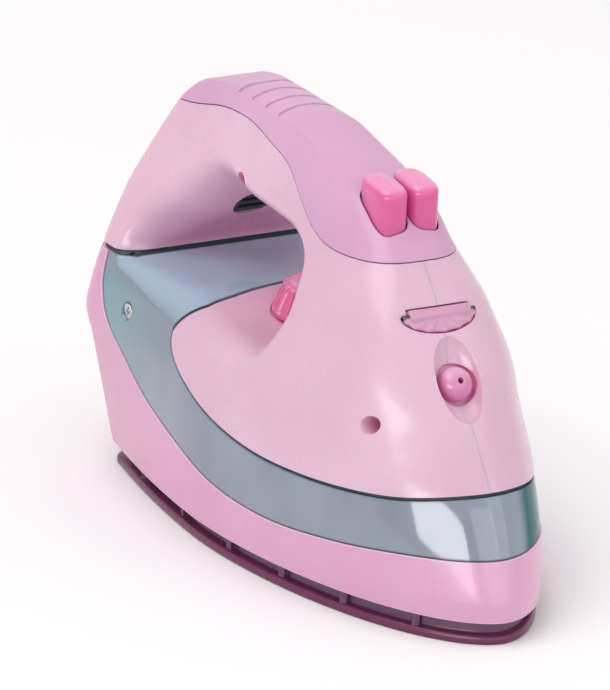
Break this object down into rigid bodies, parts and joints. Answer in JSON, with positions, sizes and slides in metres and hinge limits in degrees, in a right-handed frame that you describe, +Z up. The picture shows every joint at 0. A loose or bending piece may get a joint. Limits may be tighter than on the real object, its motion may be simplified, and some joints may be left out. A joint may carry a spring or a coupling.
{
  "type": "toy iron",
  "caption": "Toy steam iron with a pointed soleplate, see-through tank, closed grip with a finger opening, press buttons, a turning dial, a hinged filler flap and a spray nozzle.",
  "frame": {"origin": "centre of the bounding box's bottom, on the surface that the soleplate rests on", "axes": "+X towards the nose, +Y to the left side of the iron seen from behind, +Z up through the grip"},
  "size_m": [0.187, 0.089, 0.124],
  "materials": {
    "sole": "smooth moulded, slightly glossy",
    "skirt": "smooth moulded, glossy",
    "tank": "smoky blue, lets a little light through",
    "gasket": "dark satin seal",
    "body": "smooth moulded, soft gloss",
    "grip": "smooth moulded, soft gloss",
    "accent": "smooth moulded, glossy",
    "flap": "smooth moulded, soft gloss",
    "black_plastic": "fine matt",
    "board": "lacquered board",
    "steel": "plated",
    "lamp": "clear, faintly warm",
    "cell": "plain printed sleeve without marks"
  },
  "bodies": {
    "housing": {"soleplate": "sole", "base_skirt": "skirt", "water_tank": "tank", "tank_gasket": "gasket", "body_shell_right": "body", "body_shell_left": "body", "grip_cover": "grip", "steam_spring": "steel", "spray_spring": "steel", "button_board": "board", "button_switches": "black_plastic", "flap_pin": "steel", "spray_nozzle": "flap", "speaker_grille": "black_plastic", "speaker": "black_plastic", "circuit_board": "board", "board_parts": "black_plastic", "lamp": "lamp", "lamp_holder": "skirt", "battery_box": "black_plastic", "battery_cells": "cell", "contact_plates": "steel", "contact_springs": "steel", "power_switch": "black_plastic", "case_screws": "steel", "sole_screws": "steel", "tank_screws": "steel"},
    "steam_button": {"steam_button": "accent"},
    "spray_button": {"spray_button": "accent"},
    "dial": {"temperature_dial": "accent", "dial_screw": "steel"},
    "filler_flap": {"filler_flap": "flap"},
    "battery_door": {"battery_door": "sole", "door_screws": "steel"},
    "power_slider": {"power_slider": "accent"}
  },
  "joints": [
    {"name": "steam_press", "type": "slide", "parent": "housing", "child": "steam_button", "axis": [0, 0, -1], "range_m": [0, 0.002], "stiffness_N_per_m": 300, "springref_m": -0.001, "deforming": ["steam_spring"]},
    {"name": "spray_press", "type": "slide", "parent": "housing", "child": "spray_button", "axis": [0, 0, -1], "range_m": [0, 0.002], "stiffness_N_per_m": 300, "springref_m": -0.001, "deforming": ["spray_spring"]},
    {"name": "dial_turn", "type": "hinge", "parent": "housing", "child": "dial", "pos_m": [-0.02076, 0, 0.064], "axis": [0, 0, 1], "range_deg": [-135, 135]},
    {"name": "flap_swing", "type": "hinge", "parent": "housing", "child": "filler_flap", "pos_m": [0.04616, 0, 0.08581], "axis": [0, -1, 0], "range_deg": [0, 70]},
    {"name": "door_lift", "type": "slide", "parent": "housing", "child": "battery_door", "axis": [0, 0, -1], "range_m": [0, 0.015]},
    {"name": "power_slide", "type": "slide", "parent": "housing", "child": "power_slider", "axis": [1, 0, 0], "range_m": [0, 0.003]}
  ]
}
